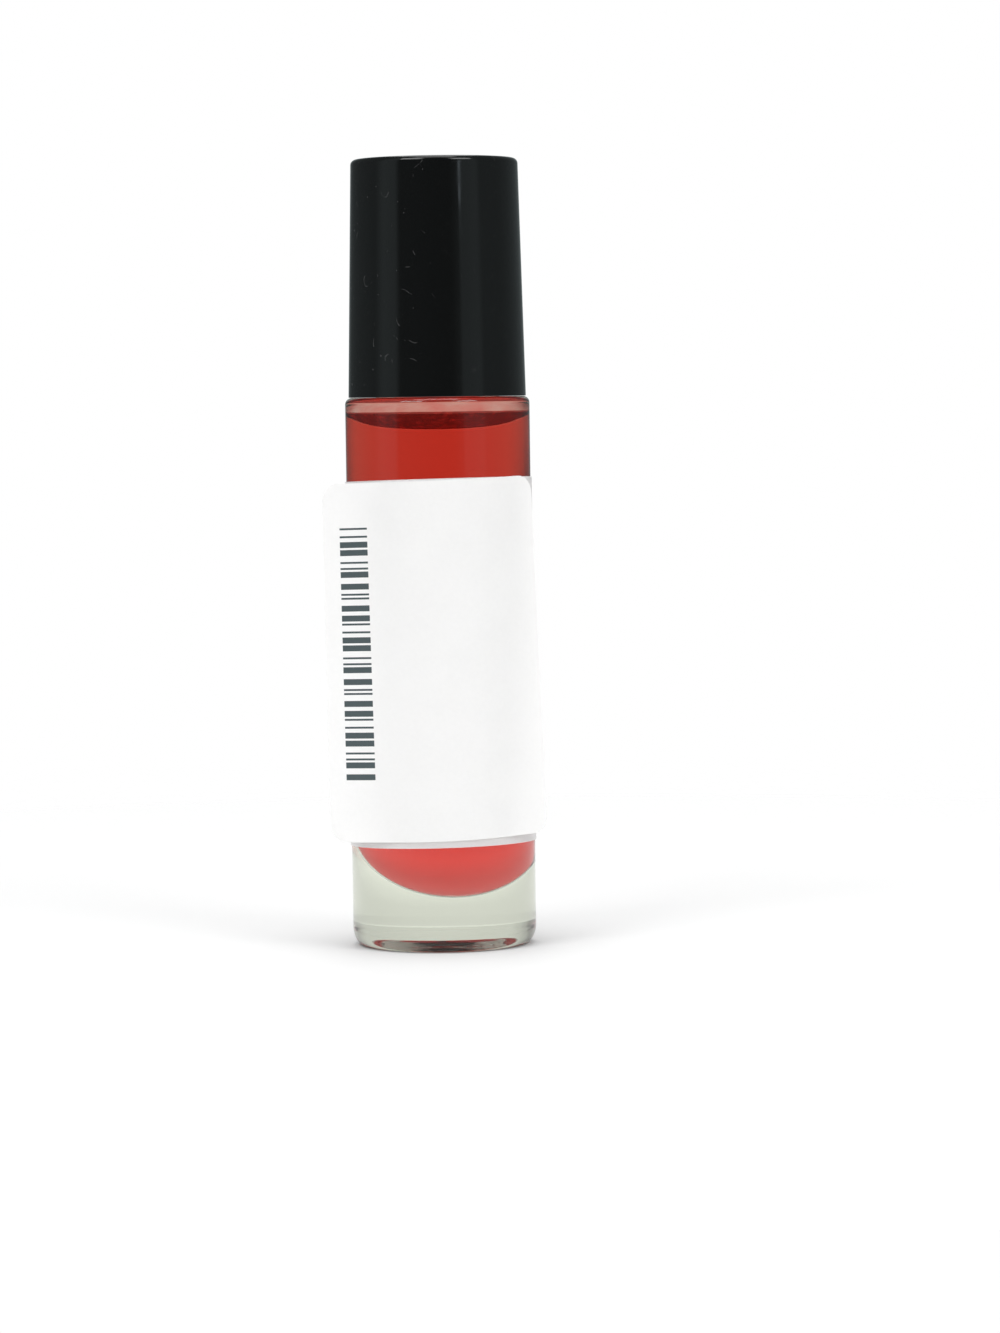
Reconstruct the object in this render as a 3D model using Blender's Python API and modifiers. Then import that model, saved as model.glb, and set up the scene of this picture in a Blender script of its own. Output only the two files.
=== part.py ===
"""A roll-on perfume oil bottle: thick glass, red oil, a ball in its housing, a black screw cap and two labels.

Metres, +Z up. The origin is the centre of the base, and the front of the labels faces -Y.
"""

import math

import bmesh
import bpy

# Glass bottle
BODY_RADIUS = 0.0100
SHOULDER_HEIGHT = 0.0593
SHOULDER_ROUND = 0.0010
HEEL_WIDTH = 0.0012
HEEL_HEIGHT = 0.0020
BODY_WALL = 0.0029
BASE_THICKNESS = 0.0053
BOWL_DEPTH = 0.0066
CAVITY_LEAN = 0.00065
ROOF_DROP = 0.0021
ROOF_RISE = 0.0016
ROOF_BEND = 2.2

# Neck and its thread
NECK_BORE_RADIUS = 0.0046
NECK_WALL = 0.00175
NECK_HEIGHT = 0.0102
NECK_LIP_ROUND = 0.0005
NECK_FILLET = 0.0004
THREAD_DEPTH = 0.00065
THREAD_PITCH = 0.0028
THREAD_TURNS = 1.5
THREAD_TOP_INSET = 0.0020

# Oil
OIL_DROP = 0.0019
MENISCUS_RISE = 0.0017
MENISCUS_WIDTH = 0.0017

# Roller ball and its housing
BALL_RADIUS = 0.0043
SOCKET_WALL = 0.0005
COLLAR_WALL = 0.0009
COLLAR_ROUND = 0.0004
SOCKET_LIP_SHARE = 0.44
SEAT_BORE_SHARE = 0.52
SEAT_THICKNESS = 0.0010
FLANGE_THICKNESS = 0.0010
FLANGE_INSET = 0.00015
PLUG_DEPTH = 0.0062
PLUG_WALL = 0.0010
PLUG_CHAMFER = 0.0004

# Cap shell and liner
CAP_WALL = 0.0010
CAP_TOP_THICKNESS = 0.0013
CAP_TOP_ROUND = 0.0008
CAP_TAPER = 0.00057
CAP_HEAD_SPACE = 0.0019
LINER_WALL = 0.00067
LINER_TOP_THICKNESS = 0.0010
LINER_HEADROOM = 0.0046
LINER_THREAD_DEPTH = 0.00035
LINER_STEP = 0.0007
LINER_INSET = 0.0003
SEAL_WALL = 0.0007

# Labels
LABEL_THICKNESS = 0.00015
LABEL_BOTTOM = 0.01135
LABEL_HEIGHT = 0.0395
LABEL_SEAM = 0.0008
LABEL_SKEW_DEGREES = 1.0
LABEL_TIP_DEGREES = 1.5
STICKER_WIDTH = 0.0259
STICKER_HEIGHT = 0.0386
STICKER_CORNER = 0.0019
STICKER_OFFSET = 0.00026
STICKER_SKEW_DEGREES = 1.6
STICKER_LEFT_WING = 0.00844
STICKER_HELD_FROM_DEGREES = -29.0
STICKER_HELD_TO_DEGREES = 39.3
STICKER_LEFT_TWIST_DEGREES = 3.9
STICKER_RIGHT_TWIST_DEGREES = 4.8

# Clearances
SEAT_GAP = 0.0003
THREAD_GAP = 0.0003
BALL_GAP = 0.0003
LABEL_GAP = 0.00015
CUT_OVERRUN = 0.0010
MERGE_DISTANCE = 0.000001

# Counts
ROUND_STEPS = 48
HOUSING_STEPS = 40
THREAD_STEPS = 20
THREAD_FADE_STEPS = 4
CORNER_STEPS = 4
BOWL_STEPS = 8
STICKER_COLUMNS = 24
BALL_COLUMNS = 32
BALL_ROWS = 16

# Places worked out from the sizes above
NECK_RADIUS = NECK_BORE_RADIUS + NECK_WALL
NECK_TOP = SHOULDER_HEIGHT + NECK_HEIGHT
CAVITY_RADIUS = BODY_RADIUS - BODY_WALL
ROOF_START = SHOULDER_HEIGHT - ROOF_DROP
OIL_CONTACT = SHOULDER_HEIGHT - OIL_DROP
THREAD_RADIUS = NECK_RADIUS + THREAD_DEPTH
THREAD_START = NECK_TOP - THREAD_TOP_INSET - THREAD_PITCH * THREAD_TURNS

PLUG_RADIUS = NECK_BORE_RADIUS - SEAT_GAP
SOCKET_RADIUS = BALL_RADIUS + BALL_GAP
SOCKET_AT_NECK = min(PLUG_RADIUS - SOCKET_WALL, SOCKET_RADIUS)
BALL_HEIGHT = NECK_TOP + math.sqrt(SOCKET_RADIUS**2 - SOCKET_AT_NECK**2)
COLLAR_RADIUS = SOCKET_RADIUS + COLLAR_WALL
COLLAR_TOP = BALL_HEIGHT + SOCKET_RADIUS * SOCKET_LIP_SHARE

CAP_MOUTH = SHOULDER_HEIGHT + SEAT_GAP
LINER_THREAD_RADIUS = THREAD_RADIUS + THREAD_GAP
LINER_BORE = LINER_THREAD_RADIUS + LINER_THREAD_DEPTH
SHELL_BORE = LINER_BORE + LINER_WALL + SEAT_GAP
CAP_MOUTH_RADIUS = SHELL_BORE + CAP_WALL
LINER_CEILING = BALL_HEIGHT + BALL_RADIUS + LINER_HEADROOM
LINER_TOP = LINER_CEILING + LINER_TOP_THICKNESS
SHELL_CEILING = LINER_TOP + CAP_HEAD_SPACE
CAP_TOP = SHELL_CEILING + CAP_TOP_THICKNESS

LABEL_RADIUS = BODY_RADIUS + LABEL_GAP
STICKER_RADIUS = LABEL_RADIUS + LABEL_THICKNESS + LABEL_GAP
STICKER_MIDDLE = LABEL_BOTTOM + LABEL_HEIGHT / 2 + STICKER_OFFSET


def clear_scene():
    """Removes whatever the file starts with."""
    for item in list(bpy.data.objects):
        bpy.data.objects.remove(item, do_unlink=True)


def new_collection(name):
    """A collection in the scene."""
    collection = bpy.data.collections.new(name)
    bpy.context.scene.collection.children.link(collection)
    return collection


def finish(name, color, roughness, metallic=0.0, transmission=0.0):
    """A Principled material."""
    material = bpy.data.materials.new(name)
    material.use_nodes = True
    shader = material.node_tree.nodes["Principled BSDF"]
    shader.inputs["Base Color"].default_value = (*color, 1.0)
    shader.inputs["Roughness"].default_value = roughness
    shader.inputs["Metallic"].default_value = metallic
    shader.inputs["Transmission Weight"].default_value = transmission
    material.diffuse_color = (*color, 1.0)
    return material


def new_object(name, mesh, collection, material=None):
    """An object of a mesh, in its collection and with its material."""
    item = bpy.data.objects.new(name, mesh)
    collection.objects.link(item)
    if material:
        mesh.materials.append(material)
    return item


def arc(centre, reach, first, last, steps):
    """Points on part of an ellipse in the profile's plane, between two angles in degrees."""
    points = []
    for step in range(steps + 1):
        angle = math.radians(first + (last - first) * step / steps)
        across = centre[0] + reach[0] * math.cos(angle)
        up = centre[1] + reach[1] * math.sin(angle)
        points.append((across, up))
    return points


def turned(name, profile, collection, material=None, steps=ROUND_STEPS, ring=False):
    """A profile of (radius, height) points turned about Z. A ring's profile closes on itself."""
    shape = bmesh.new()
    corners = [shape.verts.new((radius, 0, height)) for radius, height in profile]
    for first, second in zip(corners, corners[1:]):
        shape.edges.new((first, second))
    if ring:
        shape.edges.new((corners[-1], corners[0]))
    mesh = bpy.data.meshes.new(name)
    shape.to_mesh(mesh)
    shape.free()
    item = new_object(name, mesh, collection, material)
    screw = item.modifiers.new("Turn", "SCREW")
    screw.axis = "Z"
    screw.angle = 2 * math.pi
    screw.steps = steps
    screw.render_steps = steps
    screw.use_merge_vertices = True
    screw.merge_threshold = MERGE_DISTANCE
    screw.use_smooth_shade = True
    return item


def made_mesh(item, collection):
    """The object again, with its modifiers or its curve turned into a plain welded mesh."""
    evaluated = item.evaluated_get(bpy.context.evaluated_depsgraph_get())
    mesh = bpy.data.meshes.new_from_object(evaluated)
    shape = bmesh.new()
    shape.from_mesh(mesh)
    bmesh.ops.remove_doubles(shape, verts=shape.verts, dist=MERGE_DISTANCE)
    shape.to_mesh(mesh)
    shape.free()
    name = item.name
    matrix = item.matrix_world.copy()
    bpy.data.objects.remove(item, do_unlink=True)
    plain = new_object(name, mesh, collection)
    plain.matrix_world = matrix
    return plain


def hide_cutter(item):
    """Marks an object that only shapes another one."""
    item.hide_render = True
    item.display_type = "WIRE"


def boolean(item, cutter, operation):
    """Cuts or joins one object with another."""
    modifier = item.modifiers.new(cutter.name, "BOOLEAN")
    modifier.operation = operation
    modifier.solver = "EXACT"
    modifier.object = cutter


def thread_fade(index, last):
    """How far the thread has risen from the wall, from near 0 at its ends to 1."""
    from_end = min(index, last - index)
    return min(1.0, (from_end + 1) / (THREAD_FADE_STEPS + 1))


def thread_ridge(name, wall_radius, depth, start, inward, cutters):
    """A rounded helical ridge on a round wall, sinking into the wall at both ends."""
    curve = bpy.data.curves.new(name, "CURVE")
    curve.dimensions = "3D"
    curve.bevel_depth = depth
    curve.bevel_resolution = 2
    curve.use_fill_caps = True
    last = round(THREAD_TURNS * THREAD_STEPS)
    spline = curve.splines.new("POLY")
    spline.points.add(last)
    into_wall = 1 if inward else -1
    for index, point in enumerate(spline.points):
        turn = index / THREAD_STEPS
        fade = thread_fade(index, last)
        radius = wall_radius + into_wall * depth * (1 - fade)
        angle = 2 * math.pi * turn
        height = start + THREAD_PITCH * turn
        point.co = (radius * math.cos(angle), radius * math.sin(angle), height, 1.0)
        point.radius = fade
    item = new_object(name, curve, cutters)
    ridge = made_mesh(item, cutters)
    hide_cutter(ridge)
    return ridge


def outer_glass_profile():
    """The bottle's outside, from the top of the neck down to the middle of the base."""
    profile = [(0, NECK_TOP)]
    lip = (NECK_RADIUS - NECK_LIP_ROUND, NECK_TOP - NECK_LIP_ROUND)
    profile += arc(lip, (NECK_LIP_ROUND, NECK_LIP_ROUND), 90, 0, CORNER_STEPS)
    fillet = (NECK_RADIUS + NECK_FILLET, SHOULDER_HEIGHT + NECK_FILLET)
    profile += arc(fillet, (NECK_FILLET, NECK_FILLET), 180, 270, CORNER_STEPS)
    shoulder = (BODY_RADIUS - SHOULDER_ROUND, SHOULDER_HEIGHT - SHOULDER_ROUND)
    profile += arc(shoulder, (SHOULDER_ROUND, SHOULDER_ROUND), 90, 0, CORNER_STEPS)
    heel = (BODY_RADIUS - HEEL_WIDTH, HEEL_HEIGHT)
    profile += arc(heel, (HEEL_WIDTH, HEEL_HEIGHT), 0, -90, CORNER_STEPS + 1)
    profile.append((0, 0))
    return profile


def bowl_profile(inset):
    """The cavity's round floor, from the wall down to the middle, drawn in by the inset."""
    centre = (0, BASE_THICKNESS + BOWL_DEPTH)
    reach = (CAVITY_RADIUS - inset, BOWL_DEPTH - inset)
    bowl = arc(centre, reach, 0, -90, BOWL_STEPS)
    bowl[-1] = (0, bowl[-1][1])
    return bowl


def roof_radius(height):
    """The cavity's radius at a height where it draws in from the body to the neck's bore."""
    share = min(max((height - ROOF_START) / ROOF_RISE, 0), 1)
    fullness = (1 - share**ROOF_BEND) ** (1 / ROOF_BEND)
    return NECK_BORE_RADIUS + (CAVITY_RADIUS - NECK_BORE_RADIUS) * fullness


def roof_profile(top, inset):
    """The cavity's roof from a height down to where it starts, drawn in and lowered by the inset."""
    points = []
    for step in range(BOWL_STEPS + 1):
        height = top + (ROOF_START - top) * step / BOWL_STEPS
        points.append((roof_radius(height) - inset, height - inset))
    return points


def lean_cavity(item):
    """Moves the cavity towards +X, more the lower it is, as the glass of the real bottle has it."""
    for vertex in item.data.vertices:
        depth = ROOF_START - vertex.co.z
        if depth > 0:
            vertex.co.x += CAVITY_LEAN * depth / (ROOF_START - BASE_THICKNESS)


def make_glass(parts, cutters):
    """The bottle: a turned outside, joined with its thread and cut by its cavity."""
    glass = finish("clear_glass", (0.90, 0.93, 0.89), 0.02, transmission=1.0)
    bottle = turned("glass_bottle", outer_glass_profile(), parts, glass)
    thread = thread_ridge("neck_thread", NECK_RADIUS, THREAD_DEPTH, THREAD_START, False, cutters)
    profile = [(0, NECK_TOP + CUT_OVERRUN), (NECK_BORE_RADIUS, NECK_TOP + CUT_OVERRUN)]
    profile += roof_profile(ROOF_START + ROOF_RISE, 0) + bowl_profile(0)
    cavity = made_mesh(turned("cavity", profile, cutters), cutters)
    lean_cavity(cavity)
    hide_cutter(cavity)
    boolean(bottle, thread, "UNION")
    boolean(bottle, cavity, "DIFFERENCE")


def oil_surface_profile():
    """The oil's surface from the middle to just before the roof, which it climbs in a meniscus."""
    radius = roof_radius(OIL_CONTACT) - SEAT_GAP
    points = []
    for step in range(BOWL_STEPS):
        across = radius * math.sin(math.pi / 2 * step / BOWL_STEPS)
        climb = math.exp((across - radius) / MENISCUS_WIDTH)
        points.append((across, OIL_CONTACT - SEAT_GAP - MENISCUS_RISE * (1 - climb)))
    return points


def make_oil(parts):
    """The oil, which fills the cavity up to just below the shoulder."""
    red = finish("red_oil", (0.45, 0.03, 0.02), 0.05, transmission=1.0)
    profile = oil_surface_profile() + roof_profile(OIL_CONTACT, SEAT_GAP) + bowl_profile(SEAT_GAP)
    oil = made_mesh(turned("perfume_oil", profile, parts), parts)
    lean_cavity(oil)
    oil.data.materials.append(red)


def housing_profile():
    """The roller housing in section, from its rim down the outside and back up the inside."""
    flange_bottom = NECK_TOP + SEAT_GAP
    flange_top = flange_bottom + FLANGE_THICKNESS
    flange_radius = NECK_RADIUS - FLANGE_INSET
    plug_bottom = NECK_TOP - PLUG_DEPTH
    lip_radius = SOCKET_RADIUS * math.sqrt(1 - SOCKET_LIP_SHARE**2)
    seat_radius = SOCKET_RADIUS * SEAT_BORE_SHARE
    lip_angle = math.degrees(math.asin(SOCKET_LIP_SHARE))
    seat_angle = math.degrees(math.acos(SEAT_BORE_SHARE))
    seat_bottom = BALL_HEIGHT - SOCKET_RADIUS * math.sqrt(1 - SEAT_BORE_SHARE**2) - SEAT_THICKNESS
    rim = (COLLAR_RADIUS - COLLAR_ROUND, COLLAR_TOP - COLLAR_ROUND)
    profile = arc(rim, (COLLAR_ROUND, COLLAR_ROUND), 90, 0, CORNER_STEPS)
    profile += [(COLLAR_RADIUS, flange_top), (flange_radius, flange_top)]
    profile += [(flange_radius, flange_bottom), (PLUG_RADIUS, flange_bottom)]
    profile += [(PLUG_RADIUS, plug_bottom + PLUG_CHAMFER), (PLUG_RADIUS - PLUG_CHAMFER, plug_bottom)]
    profile += [(PLUG_RADIUS - PLUG_WALL, plug_bottom), (PLUG_RADIUS - PLUG_WALL, seat_bottom)]
    profile += [(seat_radius, seat_bottom)]
    socket = (SOCKET_RADIUS, SOCKET_RADIUS)
    profile += arc((0, BALL_HEIGHT), socket, -seat_angle, lip_angle, BOWL_STEPS + CORNER_STEPS)
    return [*profile[:-1], (lip_radius, COLLAR_TOP)]


def make_housing(parts):
    """The soft plastic plug that holds the ball in the neck."""
    plastic = finish("housing_plastic", (0.86, 0.86, 0.84), 0.45)
    turned("roller_housing", housing_profile(), parts, plastic, HOUSING_STEPS, ring=True)


def make_ball(parts):
    """The roller ball, with its origin at the centre that it rolls about."""
    steel = finish("ball_steel", (0.62, 0.62, 0.62), 0.08, metallic=1.0)
    shape = bmesh.new()
    bmesh.ops.create_uvsphere(shape, u_segments=BALL_COLUMNS, v_segments=BALL_ROWS, radius=BALL_RADIUS)
    mesh = bpy.data.meshes.new("roller_ball")
    shape.to_mesh(mesh)
    shape.free()
    mesh.shade_smooth()
    ball = new_object("roller_ball", mesh, parts, steel)
    ball.location = (0, 0, BALL_HEIGHT)


def drawn_in(height):
    """How much narrower the cap has become at a height, because of its taper."""
    return CAP_TAPER * (height - CAP_MOUTH) / (CAP_TOP - CAP_MOUTH)


def make_shell(parts):
    """The glossy cap shell, a tapered cup with a rounded top edge."""
    black = finish("cap_black", (0.012, 0.013, 0.013), 0.12)
    top_radius = CAP_MOUTH_RADIUS - CAP_TAPER
    profile = [(0, CAP_TOP)]
    edge = (top_radius - CAP_TOP_ROUND, CAP_TOP - CAP_TOP_ROUND)
    profile += arc(edge, (CAP_TOP_ROUND, CAP_TOP_ROUND), 90, 0, CORNER_STEPS)
    profile += [(CAP_MOUTH_RADIUS, CAP_MOUTH), (SHELL_BORE, CAP_MOUTH)]
    profile += [(SHELL_BORE - drawn_in(SHELL_CEILING), SHELL_CEILING), (0, SHELL_CEILING)]
    turned("cap_shell", profile, parts, black)


def make_liner(parts, cutters):
    """The threaded cup in the shell, with the skirt that seals on the housing's rim."""
    white = finish("liner_plastic", (0.80, 0.80, 0.78), 0.4)
    mouth = CAP_MOUTH + LINER_INSET
    outside = SHELL_BORE - SEAT_GAP
    step_height = NECK_TOP + SEAT_GAP
    step_radius = LINER_BORE - LINER_STEP
    seal_bottom = COLLAR_TOP + SEAT_GAP
    seal_inside = COLLAR_RADIUS - SEAL_WALL
    profile = [(0, LINER_TOP), (outside - drawn_in(LINER_TOP), LINER_TOP)]
    profile += [(outside - drawn_in(mouth), mouth), (LINER_BORE, mouth)]
    profile += [(LINER_BORE, step_height), (step_radius, step_height)]
    profile += [(step_radius, LINER_CEILING), (COLLAR_RADIUS, LINER_CEILING)]
    profile += [(COLLAR_RADIUS, seal_bottom), (seal_inside, seal_bottom)]
    profile += [(seal_inside, LINER_CEILING), (0, LINER_CEILING)]
    liner = turned("cap_liner", profile, parts, white)
    start = THREAD_START - THREAD_PITCH / 2
    thread = thread_ridge("liner_thread", LINER_BORE, LINER_THREAD_DEPTH, start, True, cutters)
    boolean(liner, thread, "UNION")


def thicken(item):
    """Gives a sheet that faces outwards its thickness."""
    solidify = item.modifiers.new("Thickness", "SOLIDIFY")
    solidify.thickness = LABEL_THICKNESS
    solidify.offset = 1.0
    solidify.use_even_offset = True


def make_wrap_label(parts):
    """The label that goes round the bottle, with its seam at the back and a slight skew."""
    paper = finish("label_paper", (0.85, 0.83, 0.82), 0.6)
    seam_angle = LABEL_SEAM / LABEL_RADIUS
    first = math.pi / 2 + seam_angle / 2
    shape = bmesh.new()
    start = (LABEL_RADIUS * math.cos(first), LABEL_RADIUS * math.sin(first))
    low = shape.verts.new((*start, LABEL_BOTTOM))
    high = shape.verts.new((*start, LABEL_BOTTOM + LABEL_HEIGHT))
    edge = shape.edges.new((low, high))
    turn = 2 * math.pi - seam_angle
    bmesh.ops.spin(shape, geom=[low, high, edge], axis=(0, 0, 1), angle=turn, steps=ROUND_STEPS)
    bmesh.ops.recalc_face_normals(shape, faces=shape.faces)
    if shape.faces[:][0].normal.dot(shape.faces[:][0].calc_center_median()) < 0:
        bmesh.ops.reverse_faces(shape, faces=shape.faces)
    slope = math.tan(math.radians(LABEL_SKEW_DEGREES))
    tip = math.tan(math.radians(LABEL_TIP_DEGREES))
    for vertex in shape.verts:
        vertex.co.z += slope * vertex.co.x - tip * (vertex.co.y + LABEL_RADIUS)
    mesh = bpy.data.meshes.new("wrap_label")
    shape.to_mesh(mesh)
    shape.free()
    thicken(new_object("wrap_label", mesh, parts, paper))


def laid_on_bottle(across, up):
    """Where a point of the sticker comes to lie: round the bottle, then straight on as a wing.

    Each wing leaves the bottle further round at the top than at the bottom, so it is twisted.
    """
    above = up / (STICKER_HEIGHT / 2)
    first = math.radians(STICKER_HELD_FROM_DEGREES - STICKER_LEFT_TWIST_DEGREES * above)
    last = math.radians(STICKER_HELD_TO_DEGREES + STICKER_RIGHT_TWIST_DEGREES * above)
    along = across + STICKER_WIDTH / 2 - STICKER_LEFT_WING
    unrolled = math.radians(STICKER_HELD_FROM_DEGREES) + along / STICKER_RADIUS
    angle = min(max(unrolled, first), last)
    free = (unrolled - angle) * STICKER_RADIUS
    x = STICKER_RADIUS * math.sin(angle) + free * math.cos(angle)
    y = free * math.sin(angle) - STICKER_RADIUS * math.cos(angle)
    return x, y


def flat_sticker():
    """The sticker before it is laid on: a rounded rectangle, turned by its skew and cut in columns."""
    shape = bmesh.new()
    bmesh.ops.create_grid(shape, x_segments=1, y_segments=1, size=1)
    for vertex in shape.verts:
        vertex.co.x *= STICKER_WIDTH / 2
        vertex.co.y *= STICKER_HEIGHT / 2
    corners = list(shape.verts)
    bmesh.ops.bevel(
        shape,
        geom=corners,
        offset=STICKER_CORNER,
        segments=CORNER_STEPS,
        profile=0.5,
        affect="VERTICES",
    )
    skew = math.radians(STICKER_SKEW_DEGREES)
    for vertex in shape.verts:
        x, y = vertex.co.x, vertex.co.y
        vertex.co.x = x * math.cos(skew) - y * math.sin(skew)
        vertex.co.y = x * math.sin(skew) + y * math.cos(skew)
    for column in range(1, STICKER_COLUMNS):
        cut = STICKER_WIDTH * (column / STICKER_COLUMNS - 1 / 2)
        everything = [*shape.verts, *shape.edges, *shape.faces]
        bmesh.ops.bisect_plane(
            shape,
            geom=everything,
            dist=MERGE_DISTANCE,
            plane_co=(cut, 0, 0),
            plane_no=(1, 0, 0),
        )
    return shape


def make_sticker(parts):
    """The sticker over the label: held at the front, with a free wing at each side."""
    paper = finish("sticker_paper", (0.90, 0.90, 0.89), 0.5)
    shape = flat_sticker()
    for vertex in shape.verts:
        up = vertex.co.y
        x, y = laid_on_bottle(vertex.co.x, up)
        vertex.co = (x, y, STICKER_MIDDLE + up)
    mesh = bpy.data.meshes.new("barcode_sticker")
    shape.to_mesh(mesh)
    shape.free()
    thicken(new_object("barcode_sticker", mesh, parts, paper))


def main():
    """Builds the whole bottle."""
    clear_scene()
    parts = new_collection("perfume_oil_bottle")
    cutters = new_collection("cutters")
    make_glass(parts, cutters)
    make_oil(parts)
    make_housing(parts)
    make_ball(parts)
    make_shell(parts)
    make_liner(parts, cutters)
    make_wrap_label(parts)
    make_sticker(parts)


main()
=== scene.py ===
"""Dresses the solids of a roll-on perfume oil bottle with its glass, oil, roller, cap and labels.

Metres, +Z up. The bottle stands on its base at the origin and the labels' front faces -Y.
"""

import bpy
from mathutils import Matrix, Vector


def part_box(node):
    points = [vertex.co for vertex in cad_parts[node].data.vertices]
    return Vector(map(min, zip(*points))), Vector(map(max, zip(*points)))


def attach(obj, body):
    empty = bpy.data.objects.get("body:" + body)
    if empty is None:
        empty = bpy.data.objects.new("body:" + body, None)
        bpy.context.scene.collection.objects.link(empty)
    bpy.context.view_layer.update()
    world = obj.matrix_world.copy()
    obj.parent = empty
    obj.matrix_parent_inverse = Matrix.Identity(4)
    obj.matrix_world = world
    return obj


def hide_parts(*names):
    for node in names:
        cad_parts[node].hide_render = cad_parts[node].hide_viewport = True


bl_info = {
    "name": "Perfume Oil Bottle",
    "version": (1, 0, 0),
    "blender": (4, 5, 0),
    "location": "View3D > Sidebar > Perfume Bottle",
    "description": "Glass, oil, roller, cap and labels of a roll-on perfume oil bottle",
    "category": "Add Mesh",
}

import math

import bmesh
import bpy
from bpy.props import FloatProperty, FloatVectorProperty, IntProperty, PointerProperty
from mathutils import Matrix, Vector

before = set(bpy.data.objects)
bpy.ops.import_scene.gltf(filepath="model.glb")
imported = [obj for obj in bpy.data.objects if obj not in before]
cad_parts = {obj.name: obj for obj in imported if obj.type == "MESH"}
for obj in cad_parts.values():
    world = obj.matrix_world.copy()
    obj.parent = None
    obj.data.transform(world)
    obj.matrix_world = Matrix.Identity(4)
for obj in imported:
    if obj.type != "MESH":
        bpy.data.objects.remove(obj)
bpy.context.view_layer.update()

glass_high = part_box("glass_bottle")[1]
shell_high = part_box("cap_shell")[1]
liner_low, liner_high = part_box("cap_liner")
ball_low, ball_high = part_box("roller_ball")
housing_low, housing_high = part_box("roller_housing")


def length(name, description, default):
    """A length that a user can change."""
    return FloatProperty(name=name, description=description, default=default, unit="LENGTH", precision=6)


def share(name, description, default):
    """A plain number or share."""
    return FloatProperty(name=name, description=description, default=default, precision=4)


def turn(name, description, degrees):
    """An angle, given in degrees."""
    return FloatProperty(
        name=name, description=description, default=math.radians(degrees), subtype="ANGLE"
    )


def colour(name, description, default):
    """A linear colour."""
    return FloatVectorProperty(
        name=name, description=description, default=default, size=3, min=0, max=1, subtype="COLOR"
    )


class GlassSettings(bpy.types.PropertyGroup):
    """The thick-walled bottle."""

    body_radius: length("Body radius", "Outside of the glass", glass_high.x)
    neck_top: length("Neck top", "Height of the neck's rim", glass_high.z)
    shoulder_height: length("Shoulder height", "Height of the flat shoulder", 0.0595)
    shoulder_round: length("Shoulder round", "Radius of the shoulder's edge", 0.0007)
    heel_width: length("Heel width", "How far the heel draws in", 0.0012)
    heel_height: length("Heel height", "How high the heel starts", 0.0020)
    base_ring: length("Base ring", "Width of the flat ring that the bottle stands on", 0.0011)
    push_up: length("Push-up", "Depth of the hollow under the base", 0.0013)
    push_up_side: length("Push-up side", "Width of the curved side of the hollow", 0.0012)
    push_up_crown: length("Push-up crown", "How much deeper the hollow is in its middle", 0.00015)
    cavity_radius: length("Cavity radius", "Inside of the body", 0.0071)
    lean_bottom: length("Lean at the bottom", "How far the cavity lies off the axis at its floor", 0.00065)
    base_thickness: length("Base thickness", "Glass under the middle of the oil", 0.0053)
    bowl_depth: length("Bowl depth", "Height of the cavity's round floor", 0.0066)
    bowl_slope: share("Bowl slope", "How much the floor tips down towards +X", 0.03)
    roof_start: length("Roof start", "Height at which the cavity draws in", 0.0575)
    roof_rise: length("Roof rise", "Height over which it draws in", 0.0015)
    roof_bend: share("Roof bend", "How full the roof's curve is: 2 is a quarter ellipse", 2.2)
    stained_low: colour("Stained tint, low", "What the dye takes at once near the floor", (0.90, 0.25, 0.27))
    stained_high: colour("Stained tint, high", "What it takes at once near the roof", (0.86, 0.19, 0.155))
    wetted_tint: colour("Wetted tint", "Colour of the wall that oil has run down", (1.0, 0.25, 0.235))
    neck_radius: length("Neck radius", "Outside of the neck", 0.00635)
    bore_radius: length("Bore radius", "Inside of the neck", 0.0046)
    lip_round: length("Lip round", "Radius of the rim's edges", 0.0005)
    neck_fillet: length("Neck fillet", "Radius where the neck meets the shoulder", 0.0004)
    thread_depth: length("Thread depth", "How far the thread stands out", 0.00065)
    thread_pitch: length("Thread pitch", "Rise of the thread in a turn", 0.0028)
    thread_width: length("Thread width", "Half the width of the ridge", 0.0009)
    thread_turns: share("Thread turns", "Length of the thread in turns", 1.5)
    thread_top: length("Thread top", "From the rim down to the thread's end", 0.0020)
    tint: colour("Glass tint", "Colour that the glass gives light in passing", (0.80, 0.835, 0.71))
    # Painted light: the red glow that the oil casts on the underside, given as a tint of the base glass.
    painted_oil_glow: colour("Base tint", "Colour that the oil throws on the underside", (0.62, 0.45, 0.38))


class OilSettings(bpy.types.PropertyGroup):
    """The oil and its surface."""

    wall_height: length("Contact height", "Where the surface meets the roof", 0.0577)
    rise: length("Meniscus rise", "How far the surface climbs towards the roof", 0.0020)
    reach: length("Meniscus reach", "How far from the roof it climbs", 0.0017)
    gap: length("Film gap", "Between the oil's body and its surface film and wall", 0.00002)
    density: share("Absorption", "How strongly the oil takes light, for each metre", 130.0)
    tint: colour("Oil colour", "Colour that the oil lets pass", (0.97, 0.19, 0.06))
    # Painted shade: this dark tint stands in for how dark the surface looks seen edge on.
    painted_edge_shade: colour("Surface tint", "Colour of the surface seen edge on", (0.24, 0.045, 0.045))


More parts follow.
